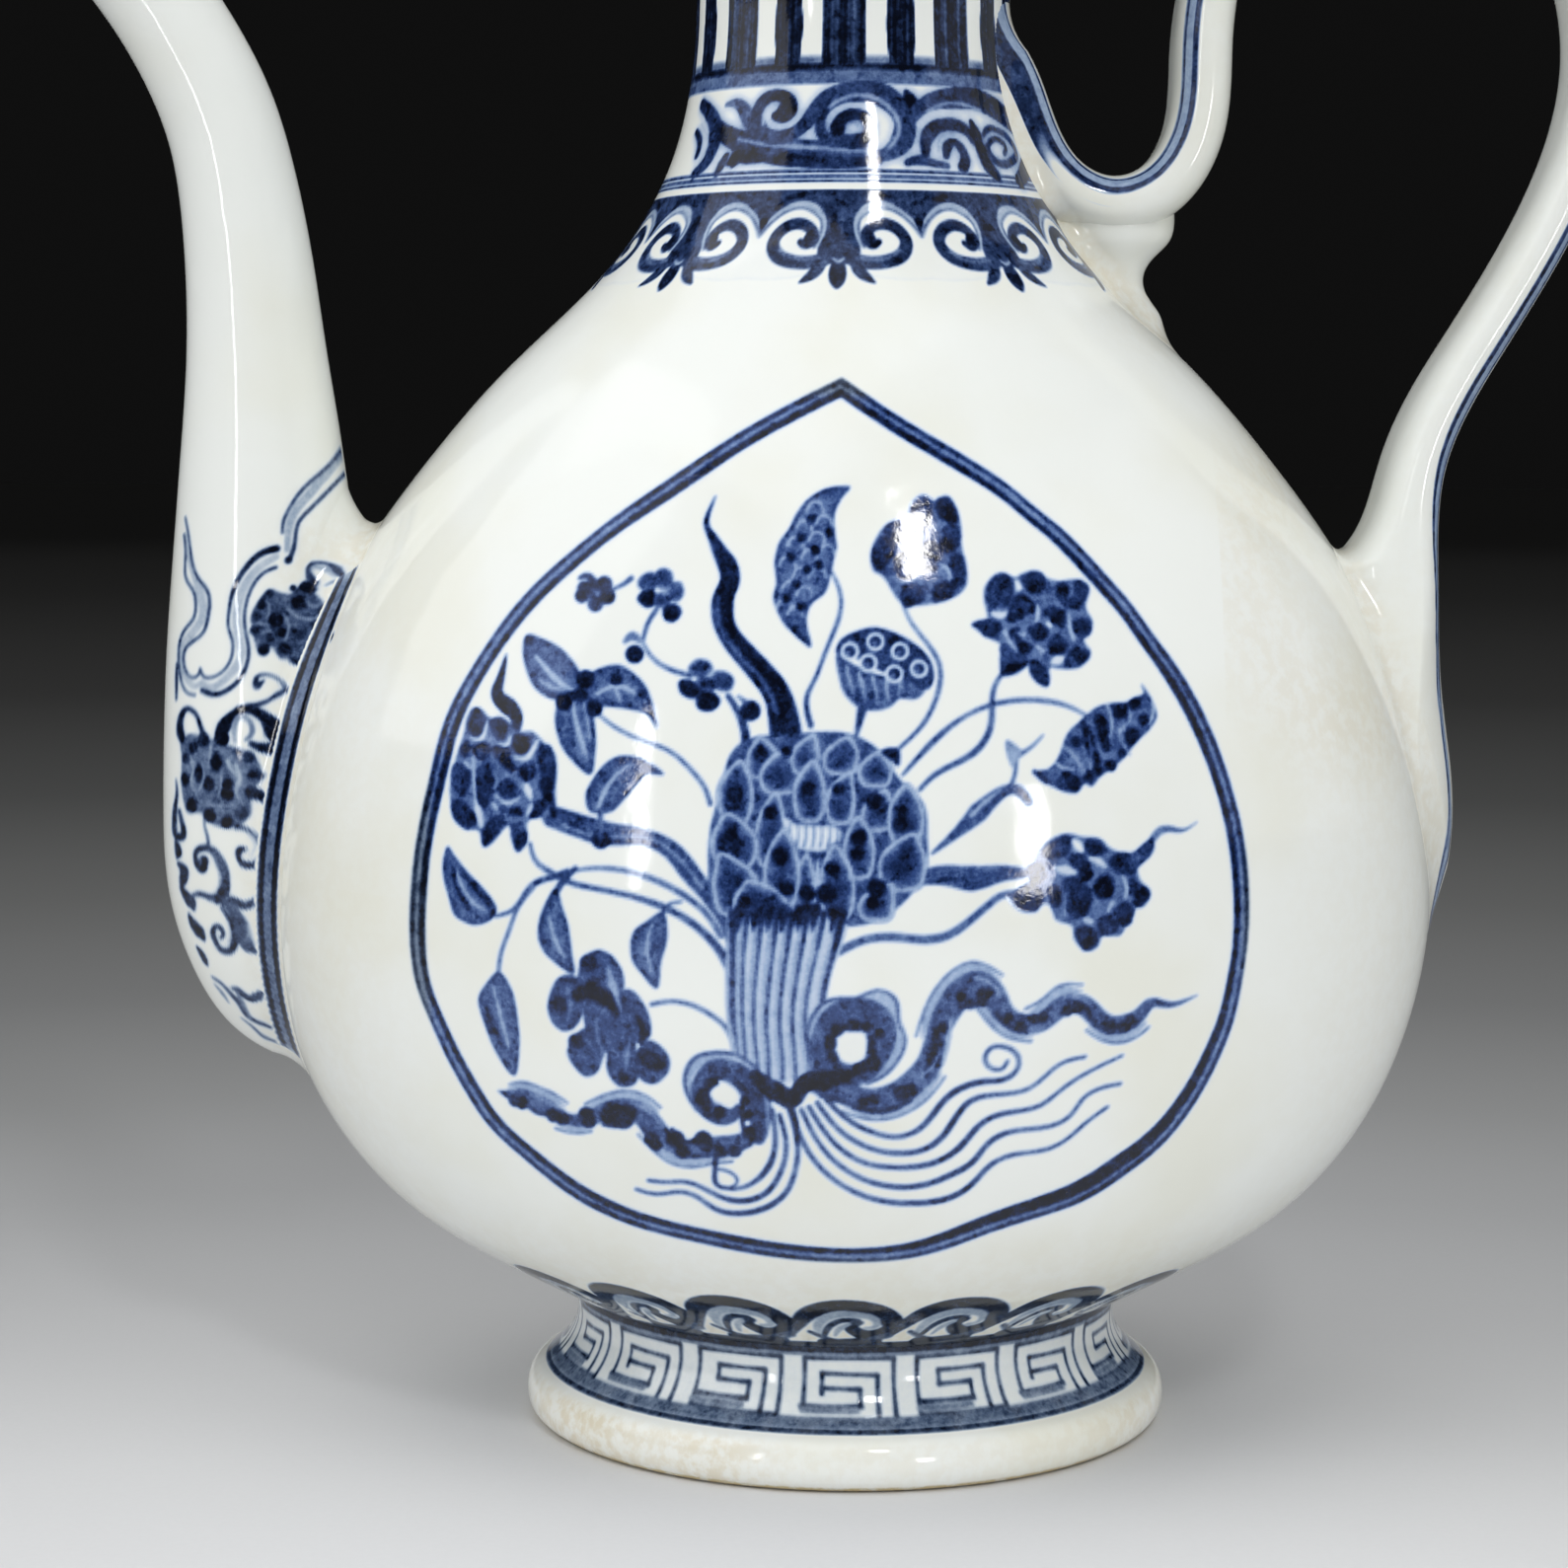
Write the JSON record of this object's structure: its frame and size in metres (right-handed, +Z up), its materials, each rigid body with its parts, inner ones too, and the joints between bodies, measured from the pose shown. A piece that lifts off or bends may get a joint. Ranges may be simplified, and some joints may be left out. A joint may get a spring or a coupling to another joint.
{
  "type": "porcelain ewer",
  "caption": "Blue-and-white porcelain ewer: flattened pear-shaped body on a spreading foot, tall curved spout, looped strap handle and a lift-off lid.",
  "frame": {"origin": "centre of the bounding box in plan, on the plane that the foot stands on; the vessel axis stands at X = +13.7 mm because the spout reaches further than the handle", "axes": "+Z up, +X from the spout to the handle, +Y to the back; the painted front panel faces -Y"},
  "size_m": [0.2942, 0.1464, 0.334],
  "materials": {
    "foot_ring": "glossy glaze over cobalt painting",
    "lower_body": "glossy glaze over cobalt painting",
    "upper_body": "glossy glaze over cobalt painting",
    "neck": "glossy glaze over cobalt painting",
    "mouth_rim": "glossy glaze over cobalt painting",
    "spout": "glossy glaze over cobalt painting",
    "handle": "glossy glaze over cobalt painting",
    "handle_post": "glossy glaze over cobalt painting",
    "lid": "glossy glaze over cobalt painting",
    "lid_ring": "glossy clear glaze",
    "lid_knob": "glossy glaze over cobalt painting"
  },
  "bodies": {
    "vessel": {"foot_ring": "foot_ring", "lower_body": "lower_body", "upper_body": "upper_body", "neck": "neck", "mouth_rim": "mouth_rim", "spout": "spout", "handle": "handle", "handle_post": "handle_post"},
    "lid": {"lid": "lid", "lid_ring": "lid_ring", "lid_knob": "lid_knob"}
  },
  "joints": [
    {"name": "lid_lift", "type": "slide", "parent": "vessel", "child": "lid", "axis": [0, 0, 1], "range_m": [0, 0.06]}
  ]
}
